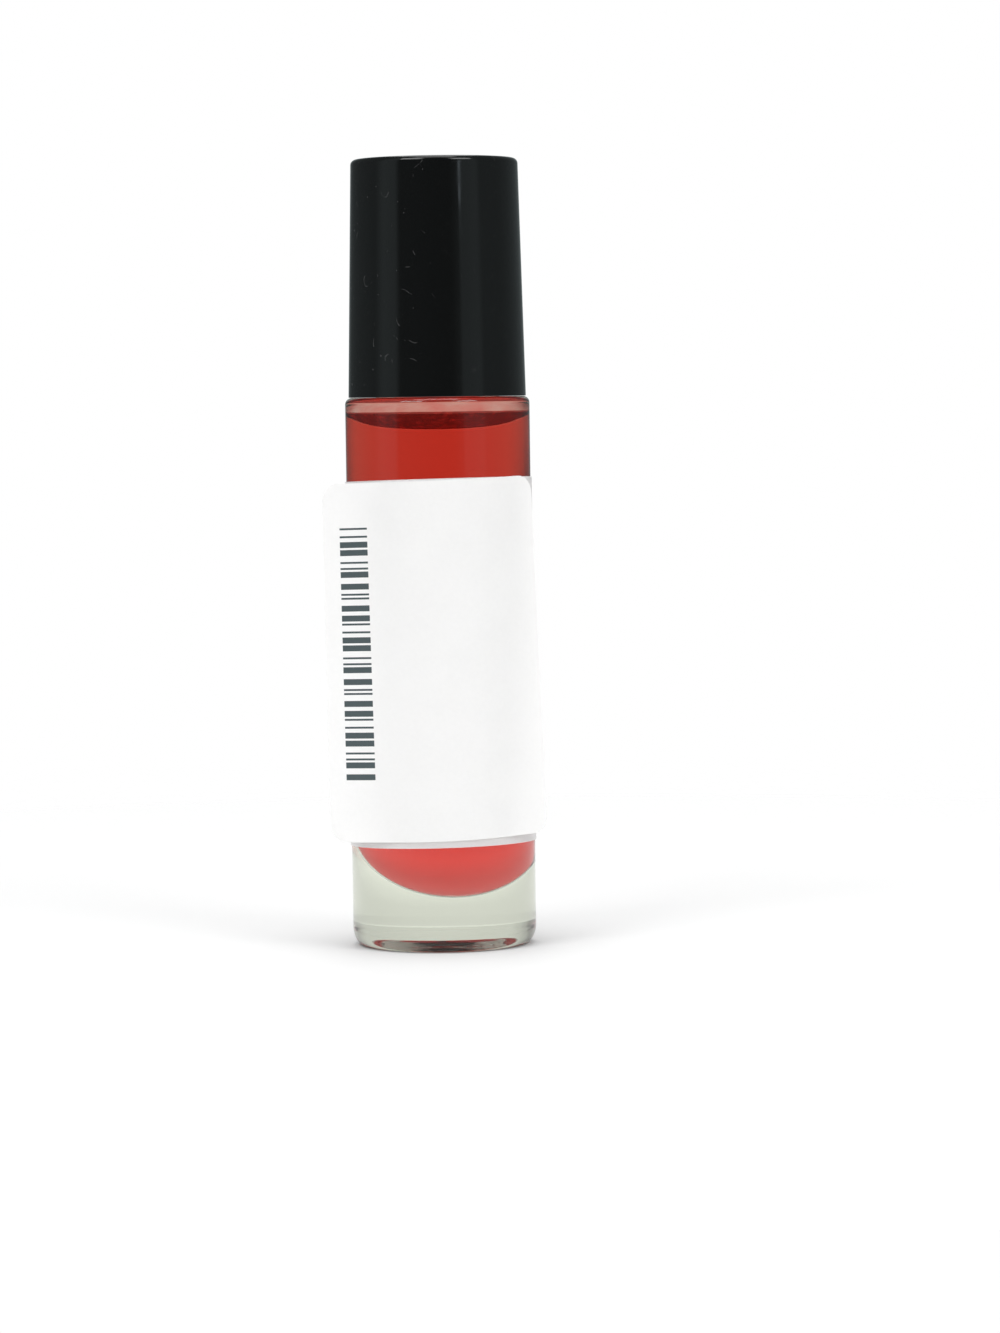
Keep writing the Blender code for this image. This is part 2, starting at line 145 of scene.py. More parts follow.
class RollerSettings(bpy.types.PropertyGroup):
    """The ball and the housing that holds it."""

    ball_radius: length("Ball radius", "Half the ball's size", (ball_high.z - ball_low.z) / 2)
    ball_height: length("Ball height", "Height of the ball's centre", (ball_high.z + ball_low.z) / 2)
    socket_gap: length("Socket gap", "Between the ball and its socket", 0.0002)
    collar_radius: length("Collar radius", "Outside of the collar", 0.0055)
    collar_round: length("Collar round", "Radius of the collar's rim", 0.0004)
    flange_radius: length("Flange radius", "Outside of the flange", housing_high.x)
    flange_thickness: length("Flange thickness", "Height of the flange", 0.0010)
    flange_gap: length("Flange gap", "Between the neck's rim and the flange", 0.00005)
    plug_radius: length("Plug radius", "Outside of the plug in the neck", 0.0045)
    plug_wall: length("Plug wall", "Wall of the plug", 0.0011)
    seat_share: share("Seat share", "Bore of the seat, as a share of the socket", 0.52)
    seat_thickness: length("Seat thickness", "Height of the seat", 0.0010)
    housing_shade: colour("Housing colour", "Colour of the milky housing", (0.80, 0.80, 0.77))
    steel_shade: colour("Steel", "Colour of the polished steel", (0.66, 0.66, 0.65))
    rubbed_shade: colour("Rubbed steel", "Colour where it is rubbed dull", (0.57, 0.57, 0.56))


class CapSettings(bpy.types.PropertyGroup):
    """The glossy shell and the threaded liner in it."""

    mouth_height: length("Mouth height", "Height of the shell's mouth", 0.05953)
    top_height: length("Top height", "Height of the shell's top", shell_high.z)
    mouth_radius: length("Mouth radius", "Outside of the shell at its mouth", shell_high.x)
    taper: length("Taper", "How much narrower the shell is at its top", 0.00057)
    top_round: length("Top round", "Radius of the top edge", 0.0006)
    wall: length("Wall", "Wall of the shell", 0.0010)
    top_thickness: length("Top thickness", "Thickness of the shell's top", 0.0013)
    mouth_round: length("Mouth round", "Radius of the mouth's edges", 0.00008)
    liner_bore: length("Liner bore", "Inside of the liner's threaded part", 0.00765)
    liner_step: length("Liner step", "How far the bore steps in above the neck", 0.0007)
    liner_thread: length("Liner thread", "How far the liner's thread stands out", 0.00035)
    liner_ridge: share("Liner ridge", "Width of its thread, as a share of the neck's", 0.7)
    liner_top: length("Liner top", "Thickness of the liner's top", 0.0010)
    seal_radius: length("Seal radius", "Outside of the skirt that seals on the housing", 0.0055)
    seal_wall: length("Seal wall", "Wall of that skirt", 0.0007)
    shade: colour("Cap colour", "Colour of the black shell", (0.0035, 0.0038, 0.0038))
    worn_shade: colour("Worn colour", "Colour of scratches and dust on it", (0.06, 0.06, 0.06))
    liner_shade: colour("Liner colour", "Colour of the white liner", (0.78, 0.78, 0.75))


class LabelSettings(bpy.types.PropertyGroup):
    """The label round the glass and the sticker over it."""

    paper: length("Paper", "Thickness of the label and the sticker", 0.00012)
    glue: length("Glue", "Between the glass and a label, or two labels", 0.00001)
    label_bottom: length("Label bottom", "Height of the label's lower edge", 0.01135)
    label_height: length("Label height", "Height of the label", 0.0395)
    label_overlap: length("Label overlap", "How far the label's end laps over its start", 0.0010)
    label_skew: turn("Label skew", "How much the label rises to the right", 1.0)
    label_tip: turn("Label tip", "How much the label drops towards the back", 1.5)
    width: length("Sticker width", "Width of the flat sticker", 0.02578)
    height: length("Sticker height", "Height of the flat sticker", 0.0386)
    middle: length("Sticker middle", "Height of the sticker's middle", 0.03136)
    corner: length("Sticker corner", "Radius of the sticker's corners", 0.0019)
    skew: turn("Sticker skew", "How much the sticker is turned", 1.6)
    left_wing: length("Left wing", "Width of the free left part at its middle", 0.00844)
    held_from: turn("Held from", "Where the sticker's hold on the bottle starts", -29.0)
    held_to: turn("Held to", "Where the sticker's hold on the bottle ends", 39.3)
    left_twist: turn("Left twist", "How much the left end of the hold turns with height", 3.9)
    right_twist: turn("Right twist", "How much the right end of the hold turns with height", 4.8)
    bars_left: length("Bars left", "From the sticker's left edge to the bars", 0.0021)
    bars_width: length("Bars width", "Length of each printed bar", 0.0035)
    bars_top: length("Bars top", "From the sticker's top edge to the bars", 0.0048)
    bars_height: length("Bars height", "Height of the printed column", 0.0271)
    bar_count: IntProperty(name="Bars", description="Number of printed bars", default=32, min=1)
    paper_shade: colour("Sticker paper", "Colour of the sticker", (0.96, 0.958, 0.952))
    # The label's faint pink is painted: it stands in for the red light of the oil on the thin paper.
    label_shade_painted_pink: colour("Label paper", "Colour of the label", (0.955, 0.94, 0.937))
    ink_shade: colour("Ink", "Colour of the print", (0.055, 0.075, 0.080))


class StageSettings(bpy.types.PropertyGroup):
    """Floor, light and camera."""

    camera_distance: length("Camera distance", "From the camera to the bottle's axis", 0.4946)
    eye_height: length("Eye height", "Height of the camera", 0.06027)
    focal_length: share("Focal length", "In millimetres, on a sensor 36 mm high", 122.9)
    yaw: turn("Yaw", "How far the camera is turned to the right", 0.743)
    pitch: turn("Pitch", "How far the camera looks down", 3.489)
    roll: turn("Roll", "How far the camera is rolled", 0.776)
    floor_gap: length("Floor gap", "Between the base and the floor", 0.00002)
    floor_near: length("Floor near", "Where the floor starts to fade into the white", 0.04)
    floor_radius: length("Floor radius", "Reach of the floor", 0.26)
    floor_shade: colour("Floor", "Colour of the floor", (0.88, 0.88, 0.88))
    # A painted shadow: seen through the glass, the floor close behind the bottle is darkened in place of the
    # bottle's shadow.
    painted_shadow_share: share("Dimmed share", "Brightness of the floor close behind, seen through glass", 0.74)
    painted_shadow_full: length("Dimmed up to", "How far behind the bottle the floor is fully dimmed", 0.045)
    painted_shadow_end: length("Dimmed no more", "How far behind the bottle it isn't dimmed any more", 0.075)


# Points closer than MERGE become one, a point within ON_WALL of a round wall is on it,
# and an edge that bends more than SHARP_ANGLE looks sharp
MERGE = 1e-7
ON_WALL = 1e-6
SHARP_ANGLE = math.radians(38)

# How finely the pieces are divided
ROUND_STEPS = 144
ARC_STEPS = 8
BOWL_STEPS = 40
ROOF_STEPS = 16
NECK_ROWS = 84
BALL_SEGMENTS = 96
BALL_RINGS = 64
LABEL_COLUMNS = 200
LABEL_ROWS = 6
STICKER_COLUMNS = 72
CORNER_STEPS = 10
FLOOR_STEPS = 96

# How long the label's end takes to climb on to its start, as a share of its overlap
LAP_CLIMB = 0.75

# The finishes of the glass, the oil and the sticker, in the order of their materials
CLEAR, UNDER_OIL, WETTED, UNDER_LABEL, UNDERSIDE = range(5)
OIL_DEPTH, OIL_SURFACE = range(2)
BLANK, PRINTED = range(2)

# How strongly a surface bends light, and how deep light goes into plastic and paper
SOLID_IOR = 1.5
PAPER_IOR = 1.45
GLUED_IOR = 1.03
OILED_IOR = 1.02
FILM_IOR = 1.01
STRAIGHT_IOR = 1.0
LIGHT_DEPTH = 0.0008

# The sensor's size in millimetres, and how many times nearer and farther than the bottle the camera sees
SENSOR = 36.0
SIGHT_REACH = 50

# What the gloss mirrors and what the glass shows, as degrees to the right of the front and brightness
ROOM_IN_GLOSS = (
    (-180, 0.30), (-150, 0.10), (-90, 0.16), (-72, 0.36), (-56, 0.34), (-48, 0.08), (20, 0.05),
    (31, 0.12), (35, 0.30), (58, 0.34), (66, 0.20), (100, 0.16), (150, 0.16), (269, 0.16),
)
ROOM_BEHIND_GLASS = (
    (-180, 0.74), (-146, 0.70), (-138, 0.60), (-129, 0.46), (-120, 0.22), (-106, 0.20),
    (-90, 0.20), (0, 0.20), (60, 0.12), (100, 0.30), (114, 0.42), (134, 0.66),
)
ROOM_TINT = (0.86, 1.0, 1.02)
LOW_GLOW = (0.74, 0.74, 0.70)
EVEN_LIGHT = (0.78, 0.78, 0.78)
WHITE = (1.0, 1.0, 1.0)

# Each lamp's name, degrees to the right of the front, degrees up, distance, width, height, radiance, colour
LAMPS = (
    ("key_lamp", -38, 48, 0.60, 0.25, 0.19, 5.1, WHITE),
    ("fill_lamp", 42, 42, 0.60, 0.25, 0.19, 4.5, WHITE),
    ("top_lamp", 0, 86, 0.55, 0.28, 0.28, 2.4, WHITE),
    ("back_lamp", 180, 55, 0.60, 0.25, 0.19, 2.8, WHITE),
    ("window_lamp", 34, 9.9, 0.60, 0.030, 0.035, 1.6, (0.78, 0.90, 1.0)),
)
LAMP_AIM = Vector((0, 0, 0.045))


def clamped(value, low=0, high=1):
    """A value held between two others."""
    return min(max(value, low), high)


def eased(part):
    """A share from 0 to 1 that starts and ends gently."""
    part = clamped(part)
    return part * part * (3 - 2 * part)


def off_axis(point):
    """How far a point lies from the bottle's axis."""
    return math.hypot(point.x, point.y)


def arc(centre, reach, first, last, steps=ARC_STEPS):
    """Points on part of an ellipse in a profile's plane, between two angles in degrees."""
    points = []
    for step in range(steps + 1):
        angle = math.radians(first + (last - first) * step / steps)
        across = centre[0] + reach[0] * math.cos(angle)
        up = centre[1] + reach[1] * math.sin(angle)
        points.append((across, up))
    return points


def rows(radius_from, radius_to, height_from, height_to, count):
    """Points evenly along a straight stretch of a profile."""
    points = []
    for step in range(count + 1):
        part = step / count
        radius = radius_from + (radius_to - radius_from) * part
        points.append((radius, height_from + (height_to - height_from) * part))
    return points


def spun(profile, steps=ROUND_STEPS, ring=False):
    """A closed surface from a profile of (radius, height) points, turned about Z."""
    shape = bmesh.new()
    corners = [shape.verts.new((max(radius, 0.0), 0, height)) for radius, height in profile]
    edges = [shape.edges.new(pair) for pair in zip(corners, corners[1:])]
    if ring:
        edges.append(shape.edges.new((corners[-1], corners[0])))
    bmesh.ops.spin(
        shape,
        geom=[*corners, *edges],
        cent=(0, 0, 0),
        axis=(0, 0, 1),
        angle=2 * math.pi,
        steps=steps,
        use_merge=True,
    )
    bmesh.ops.remove_doubles(shape, verts=shape.verts, dist=MERGE)
    bmesh.ops.recalc_face_normals(shape, faces=shape.faces)
    return shape


def cut(shape, point, normal):
    """Cuts every face of a shape along a plane."""
    everything = [*shape.verts, *shape.edges, *shape.faces]
    bmesh.ops.bisect_plane(shape, geom=everything, dist=MERGE, plane_co=point, plane_no=normal)


def finished(shape, name, materials, body, node=None):
    """Makes a piece of a bmesh, gives it its materials and puts it on its body."""
    mesh = bpy.data.meshes.new(name)
    shape.to_mesh(mesh)
    shape.free()
    for material in materials:
        mesh.materials.append(material)
    mesh.shade_smooth()
    mesh.set_sharp_from_angle(angle=SHARP_ANGLE)
    piece = bpy.data.objects.new(name, mesh)
    bpy.context.scene.collection.objects.link(piece)
    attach(piece, body)
    if node:
        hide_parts(node)
    return piece


def thread_profile(angle, height, pitch, turns, half_width):
    """How far a helical ridge stands out at a place on its wall, from 0 to 1."""
    fade_turns = 0.12
    fullness = 0.8
    first = (angle / (2 * math.pi)) % 1
    highest = 0.0
    for whole in range(math.ceil(turns) + 1):
        along = first + whole
        if along > turns:
            break
        offset = abs(height - pitch * along) / half_width
        if offset < 1:
            fade = min(1.0, along / fade_turns, (turns - along) / fade_turns)
            highest = max(highest, fade * math.cos(offset * math.pi / 2) ** fullness)
    return highest


def raise_thread(shape, glass, wall_radius, depth, half_width, lag=0.0):
    """Raises the neck's thread on a round wall, inwards for a negative depth, lower by a lag in turns."""
    start = glass.neck_top - glass.thread_top - glass.thread_pitch * (glass.thread_turns + lag)
    for vertex in shape.verts:
        radius = off_axis(vertex.co)
        if abs(radius - wall_radius) > ON_WALL:
            continue
        angle = math.atan2(vertex.co.y, vertex.co.x)
        height = vertex.co.z - start
        ridge = thread_profile(angle, height, glass.thread_pitch, glass.thread_turns, half_width)
        grown = (radius + depth * ridge) / radius
        vertex.co.x *= grown
        vertex.co.y *= grown


class Nodes:
    """A short way to build one material's or world's nodes."""

    def __init__(self, tree):
        self.tree = tree

    def add(self, kind, **settings):
        """A node with its properties, and with its inputs set by name or fed by a socket."""
        node = self.tree.nodes.new(kind)
        for key, value in settings.items():
            if hasattr(node, key):
                setattr(node, key, value)
            else:
                self.feed(node, key.replace("_", " "), value)
        return node

    def feed(self, node, name, value):
        """Sets an input's value, or links a socket to it."""
        socket = node.inputs[name] if isinstance(name, int) else self.socket(node, name)
        if isinstance(value, bpy.types.NodeSocket):
            self.tree.links.new(value, socket)
        else:
            socket.default_value = value

    def socket(self, node, name):
        """An input by its name, whatever its capitals."""
        for item in node.inputs:
            if item.name.lower() == name.lower() and item.enabled:
                return item
        raise KeyError(f"{node.bl_idname} has no input {name}")

    def along(self, where, axis):
        """A place's coordinate along X, Y or Z."""
        return self.add("ShaderNodeSeparateXYZ", Vector=where).outputs[axis]

    def noise(self, where, scale, detail, roughness=0.5):
        """A noise value at a scale in repeats for each metre."""
        node = self.add("ShaderNodeTexNoise", Vector=where, Scale=scale, Detail=detail)
        self.feed(node, "Roughness", roughness)
        return node.outputs["Fac"]

    def spread(self, value, low, high, to_low=0.0, to_high=1.0):
        """A value moved from one range to another, held at its ends."""
        node = self.add("ShaderNodeMapRange", Value=value, From_Min=low, From_Max=high)
        self.feed(node, "To Min", to_low)
        self.feed(node, "To Max", to_high)
        return node.outputs["Result"]

    def about(self, noise, middle, reach):
        """A value that wanders with a noise about a middle."""
        return self.spread(noise, low=0.3, high=0.7, to_low=middle - reach, to_high=middle + reach)

    def math(self, operation, first, second=0.0):
        """What an operation makes of one or two values."""
        node = self.add("ShaderNodeMath", operation=operation)
        self.feed(node, 0, first)
        self.feed(node, 1, second)
        return node.outputs[0]

    def blend(self, factor, first, second):
        """A colour between two."""
        node = self.add("ShaderNodeMix", data_type="RGBA")
        self.tree.links.new(factor, node.inputs[0])
        for index, value in ((6, first), (7, second)):
            if isinstance(value, bpy.types.NodeSocket):
                self.tree.links.new(value, node.inputs[index])
            else:
                node.inputs[index].default_value = (*value, 1.0)
        return node.outputs[2]

    def bump(self, height, depth, normal=None):
        """A bump normal of a height value, with its depth in metres, on top of another normal."""
        node = self.add("ShaderNodeBump", Height=height, Distance=depth)
        if normal is not None:
            self.feed(node, "Normal", normal)
        return node.outputs["Normal"]

    def relief(self, where, scale, detail, depth, normal=None):
        """A bump normal of a noise."""
        return self.bump(self.noise(where, scale, detail), depth, normal)


def new_material(name, **sockets):
    """A material with its nodes, its shader and its Object coordinates."""
    material = bpy.data.materials.new(name)
    material.use_nodes = True
    nodes = Nodes(material.node_tree)
    shader = material.node_tree.nodes["Principled BSDF"]
    for key, value in sockets.items():
        if key == "base":
            value = (*value, 1.0)
            key = "Base Color"
        shader.inputs[key.replace("_", " ")].default_value = value
    where = nodes.add("ShaderNodeTexCoord").outputs["Object"]
    return material, nodes, shader, where


def see_through(name, base, bend):
    """A smooth material that light passes through, and how strongly it bends the light."""
    return new_material(name, base=base, Transmission_Weight=1.0, IOR=bend, Roughness=0.0)


def toned(shade, share):
    """A colour made darker by a share under 1, or paler by one over it."""
    return tuple(min(share * part, 1.0) for part in shade)


def clear_glass(settings):
    """Clear moulded glass, a little wavy, with faint smears."""
    material, nodes, shader, where = see_through("clear_glass", settings.tint, SOLID_IOR)
    smears = nodes.noise(where, scale=260.0, detail=4.0, roughness=0.6)
    nodes.feed(shader, "Roughness", nodes.spread(smears, low=0.5, high=0.8, to_high=0.05))
    wave = nodes.relief(where, scale=120.0, detail=2.0, depth=0.000014)
    ripple = nodes.relief(where, scale=700.0, detail=2.0, depth=0.000003, normal=wave)
    nodes.feed(shader, "Normal", ripple)
    return material


def wet_glass(settings):
    """The wall of the cavity under the oil, stained by its dye, where light hardly bends."""
    material, nodes, shader, where = see_through("glass_under_oil", (1, 1, 1), OILED_IOR)
    up = nodes.spread(nodes.along(where, "Z"), low=0.015, high=0.045)
    nodes.feed(shader, "Base Color", nodes.blend(up, settings.stained_low, settings.stained_high))
    nodes.feed(shader, "Normal", nodes.relief(where, scale=150.0, detail=2.0, depth=0.00005))
    return material


def glued_glass(settings):
    """The outside of the glass under the glued label, where light passes into the paper."""
    material, nodes, shader, where = see_through("glass_under_label", settings.tint, GLUED_IOR)
    spots = nodes.noise(where, scale=900.0, detail=3.0)
    nodes.feed(shader, "Roughness", nodes.spread(spots, low=0.4, high=0.7, to_high=0.1))
    nodes.feed(shader, "Normal", nodes.relief(where, scale=300.0, detail=2.0, depth=0.00002))
    return material


def base_glass_painted_glow(settings):
    """The underside of the base, tinted with a painted red glow of the oil, with a stippled grip."""
    material, nodes, shader, where = see_through("base_glass_painted_glow", settings.painted_oil_glow, SOLID_IOR)
    stipple = nodes.noise(where, scale=1500.0, detail=2.0)
    nodes.feed(shader, "Roughness", nodes.spread(stipple, low=0.4, high=0.7, to_high=0.12))
    nodes.feed(shader, "Normal", nodes.relief(where, scale=600.0, detail=2.0, depth=0.00002))
    return material


def wetted_glass(settings):
    """The wall above the oil, with a thin film and a few drops left on it."""
    material, nodes, shader, where = see_through("wetted_glass", settings.wetted_tint, FILM_IOR)
    runs = nodes.spread(nodes.noise(where, scale=420.0, detail=3.0), low=0.35, high=0.7)
    thinness = 0.4
    thin = tuple(part**thinness for part in settings.wetted_tint)
    nodes.feed(shader, "Base Color", nodes.blend(runs, settings.wetted_tint, thin))
    nodes.feed(shader, "Normal", nodes.relief(where, scale=650.0, detail=2.0, depth=0.00002))
    return material


def oil_body(settings):
    """The depth of the oil: it only takes colour out of light."""
    material, nodes, _, _ = see_through("red_oil", (1, 1, 1), STRAIGHT_IOR)
    absorb = nodes.add("ShaderNodeVolumeAbsorption")
    absorb.inputs["Color"].default_value = (*settings.tint, 1.0)
    absorb.inputs["Density"].default_value = settings.density
    output = material.node_tree.nodes["Material Output"]
    nodes.tree.links.new(absorb.outputs["Volume"], output.inputs["Volume"])
    return material


def oil_film(settings):
    """The oil's surface against the air, tinted with a painted shade of how dark it looks edge on, with fine
    paler ripples.
    """
    material, nodes, shader, where = see_through("oil_surface", settings.painted_edge_shade, FILM_IOR)
    fine = nodes.noise(where, scale=1100.0, detail=2.0, roughness=0.6)
    ripples = nodes.spread(fine, low=0.54, high=0.66)
    paler = toned(settings.painted_edge_shade, share=2.2)
    nodes.feed(shader, "Base Color", nodes.blend(ripples, settings.painted_edge_shade, paler))
    nodes.feed(shader, "Normal", nodes.relief(where, scale=500.0, detail=1.0, depth=0.00001))
    return material


def black_gloss(settings):
    """Glossy black moulding with fine scratches and a little dust, mostly on its left side."""
    material, nodes, shader, where = new_material(
        "cap_black", base=settings.shade, IOR=SOLID_IOR, Roughness=0.09
    )
    winding = nodes.noise(where, scale=330.0, detail=1.0)
    off_line = nodes.math("ABSOLUTE", nodes.math("SUBTRACT", winding, 0.5))
    lines = nodes.spread(off_line, low=0.002, high=0.008, to_low=1.0, to_high=0.0)
    broken = nodes.spread(nodes.noise(where, scale=620.0, detail=2.0), low=0.61, high=0.67)
    scratches = nodes.math("MULTIPLY", lines, broken)
    dust = nodes.spread(nodes.noise(where, scale=2600.0, detail=1.0), low=0.77, high=0.82)
    marks = nodes.math("MAXIMUM", scratches, dust)
    handled = nodes.spread(nodes.along(where, "X"), low=-0.0012, high=0.0, to_low=1.0, to_high=0.15)
    wear = nodes.math("MULTIPLY", marks, handled)
    nodes.feed(shader, "Base Color", nodes.blend(wear, settings.shade, settings.worn_shade))
    cloud = nodes.noise(where, scale=300.0, detail=4.0)
    haze = nodes.spread(cloud, low=0.35, high=0.75, to_low=0.07, to_high=0.14)
    dulled = nodes.math("MULTIPLY", wear, 0.45)
    nodes.feed(shader, "Roughness", nodes.math("MAXIMUM", haze, dulled))
    flow = nodes.relief(where, scale=70.0, detail=1.0, depth=0.00003)
    nodes.feed(shader, "Normal", nodes.bump(wear, depth=0.000004, normal=flow))
    return material


def moulded_plastic(name, base, roughness):
    """Pale moulded plastic with a fine matt grain."""
    material, nodes, shader, where = new_material(
        name, base=base, IOR=SOLID_IOR, Subsurface_Weight=0.1, Subsurface_Scale=LIGHT_DEPTH
    )
    grain = nodes.noise(where, scale=3000.0, detail=2.0)
    cloud = nodes.noise(where, scale=200.0, detail=3.0)
    nodes.feed(shader, "Base Color", nodes.blend(cloud, base, toned(base, share=0.93)))
    nodes.feed(shader, "Roughness", nodes.about(grain, roughness, reach=0.06))
    nodes.feed(shader, "Normal", nodes.bump(grain, depth=0.00001))
    return material


def ball_steel(settings):
    """Polished steel with fine rubbed marks."""
    material, nodes, shader, where = new_material("ball_steel", base=settings.steel_shade, Metallic=1.0)
    rubbed = nodes.noise(where, scale=900.0, detail=5.0, roughness=0.7)
    nodes.feed(shader, "Roughness", nodes.spread(rubbed, low=0.35, high=0.75, to_low=0.05, to_high=0.20))
    cloud = nodes.noise(where, scale=400.0, detail=3.0)
    nodes.feed(shader, "Base Color", nodes.blend(cloud, settings.steel_shade, settings.rubbed_shade))
    return material


def label_paper(name, base, roughness, depth):
    """Coated label paper: even, with a fine fibre in tone and surface."""
    material, nodes, shader, where = new_material(
        name, base=base, IOR=PAPER_IOR, Subsurface_Weight=depth, Subsurface_Scale=LIGHT_DEPTH
    )
    shader.inputs["Subsurface Radius"].default_value = (1.0, 1.0, 1.0)
    fibre = nodes.noise(where, scale=2400.0, detail=5.0, roughness=0.65)
    cloud = nodes.noise(where, scale=160.0, detail=3.0)
    tone = nodes.math("MULTIPLY", nodes.math("ADD", fibre, cloud), 0.5)
    mottle = nodes.spread(tone, low=0.3, high=0.7)
    nodes.feed(shader, "Base Color", nodes.blend(mottle, base, toned(base, share=0.955)))
    nodes.feed(shader, "Roughness", nodes.about(fibre, roughness, reach=0.05))
    sag = nodes.relief(where, scale=260.0, detail=2.0, depth=0.00003)
    nodes.feed(shader, "Normal", nodes.bump(fibre, depth=0.000006, normal=sag))
    return material


def print_ink(settings):
    """Dark slate print, slightly uneven."""
    material, nodes, shader, where = new_material("print_ink", base=settings.ink_shade, Roughness=0.5)
    mottle = nodes.noise(where, scale=5200.0, detail=4.0, roughness=0.7)
    paler = toned(settings.ink_shade, share=1.45)
    nodes.feed(shader, "Base Color", nodes.blend(mottle, settings.ink_shade, paler))
    nodes.feed(shader, "Roughness", nodes.about(mottle, 0.5, reach=0.08))
    return material


def glass_outside(s):
    """The bottle's profile from the middle of the base, up the outside, to the neck's rim."""
    hollow = s.body_radius - s.heel_width - s.base_ring
    profile = []
    for step in range(BOWL_STEPS + 1):
        across = hollow * step / BOWL_STEPS
        climb = eased((hollow - across) / s.push_up_side)
        crown = s.push_up_crown * (1 - (across / hollow) ** 2)
        profile.append((across, s.push_up * climb + crown))
    heel = (s.body_radius - s.heel_width, s.heel_height)
    profile += arc(heel, (s.heel_width, s.heel_height), -90, 0, ARC_STEPS * 2)
    shoulder = (s.body_radius - s.shoulder_round, s.shoulder_height - s.shoulder_round)
    profile += arc(shoulder, (s.shoulder_round, s.shoulder_round), 0, 90)
    fillet = (s.neck_radius + s.neck_fillet, s.shoulder_height + s.neck_fillet)
    profile += arc(fillet, (s.neck_fillet, s.neck_fillet), 270, 180)
    wall_top = s.neck_top - s.lip_round
    profile += rows(s.neck_radius, s.neck_radius, fillet[1], wall_top, NECK_ROWS)[1:]
    lip = (s.neck_radius - s.lip_round, wall_top)
    profile += arc(lip, (s.lip_round, s.lip_round), 0, 90)[1:]
    return profile


def bowl(s, inset):
    """The cavity's round floor, from the wall to the middle, drawn in by the inset."""
    centre = (0, s.base_thickness + s.bowl_depth)
    reach = (s.cavity_radius - inset, s.bowl_depth - inset)
    points = arc(centre, reach, 0, -90, BOWL_STEPS)
    points[-1] = (0, points[-1][1])
    return points


def roof_radius(s, height):
    """The cavity's radius at a height in its roof."""
    part = clamped((height - s.roof_start) / s.roof_rise)
    width = (1 - part**s.roof_bend) ** (1 / s.roof_bend)
    return s.bore_radius + (s.cavity_radius - s.bore_radius) * width


def roof(s, low, high, inset=0):
    """The cavity's roof from a height down to another, drawn in by the inset."""
    heights = [high + (low - high) * step / ROOF_STEPS for step in range(ROOF_STEPS + 1)]
    return [(roof_radius(s, height) - inset, height) for height in heights]


def glass_inside(s, oil):
    """The cavity's profile from the neck's rim down to the middle of its floor."""
    bore_lip = (s.bore_radius + s.lip_round / 2, s.neck_top - s.lip_round / 2)
    profile = arc(bore_lip, (s.lip_round / 2, s.lip_round / 2), 90, 180)
    profile += roof(s, oil.wall_height, s.roof_start + s.roof_rise)
    profile += roof(s, s.roof_start, oil.wall_height)[1:]
    return profile + bowl(s, 0)


def lean_cavity(shape, s):
    """Tips the cavity's floor down towards +X, and leans its wall as the moulding does."""
    below_floor = s.base_thickness * 0.9
    bowl_top = s.base_thickness + s.bowl_depth + MERGE
    for vertex in shape.verts:
        height = vertex.co.z
        inside = off_axis(vertex.co) < s.cavity_radius + ON_WALL
        if not inside or not below_floor < height < s.roof_start:
            continue
        if height <= bowl_top:
            vertex.co.z -= s.bowl_slope * vertex.co.x
        vertex.co.x += s.lean_bottom * (s.roof_start - height) / (s.roof_start - s.base_thickness)


def label_edges(s, radius):
    """The planes of the label's lower and upper edges, each as a point and its normal."""
    normal = Vector((-math.tan(s.label_skew), math.tan(s.label_tip), 1)).normalized()
    heights = (s.label_bottom, s.label_bottom + s.label_height)
    return [(Vector((0, -radius, height)), normal) for height in heights]


def mark_finishes(shape, s, oil):
    """Gives the cavity's wall and the hollow under the base their finishes."""
    for face in shape.faces:
        middle = face.calc_center_median()
        across = off_axis(middle)
        if across < s.cavity_radius and middle.z > s.base_thickness / 2:
            face.material_index = UNDER_OIL if middle.z < oil.wall_height else WETTED
        elif middle.z < s.push_up + s.push_up_crown and across < s.body_radius - s.heel_width:
            face.material_index = UNDERSIDE


def mark_glued(shape, planes, radius):
    """Cuts the glass along two planes, and marks its outside between them as under the label."""
    for point, normal in planes:
        cut(shape, point, normal)
    (low, normal), (high, _) = planes
    for face in shape.faces:
        middle = face.calc_center_median()
        outside = off_axis(middle) > radius
        if outside and (middle - low).dot(normal) > 0 > (middle - high).dot(normal):
            face.material_index = UNDER_LABEL


class PERFUME_OT_glass(bpy.types.Operator):
    """Make the glass bottle"""

    bl_idname = "perfume.glass"
    bl_label = "Glass bottle"

    def execute(self, context):
        s = context.scene.perfume_glass
        oil = context.scene.perfume_oil
        shape = spun(glass_outside(s) + glass_inside(s, oil))
        raise_thread(shape, s, s.neck_radius, s.thread_depth, s.thread_width)
        mark_finishes(shape, s, oil)
        planes = label_edges(context.scene.perfume_labels, s.body_radius)
        mark_glued(shape, planes, (s.body_radius + s.cavity_radius) / 2)
        lean_cavity(shape, s)
        materials = [clear_glass(s), wet_glass(s), wetted_glass(s), glued_glass(s), base_glass_painted_glow(s)]
        finished(shape, "bottle_glass", materials, "bottle", "glass_bottle")
        return {"FINISHED"}


def oil_surface(s, oil, drop):
    """The oil's surface from its middle to where it meets the roof, lowered by a drop."""
    contact = roof_radius(s, oil.wall_height)
    points = []
    for step in range(BOWL_STEPS + 1):
        across = (contact - drop) * math.sin(math.pi / 2 * step / BOWL_STEPS)
        climb = math.exp((across - contact) / oil.reach)
        points.append((across, oil.wall_height - oil.rise * (1 - climb) - drop))
    return points


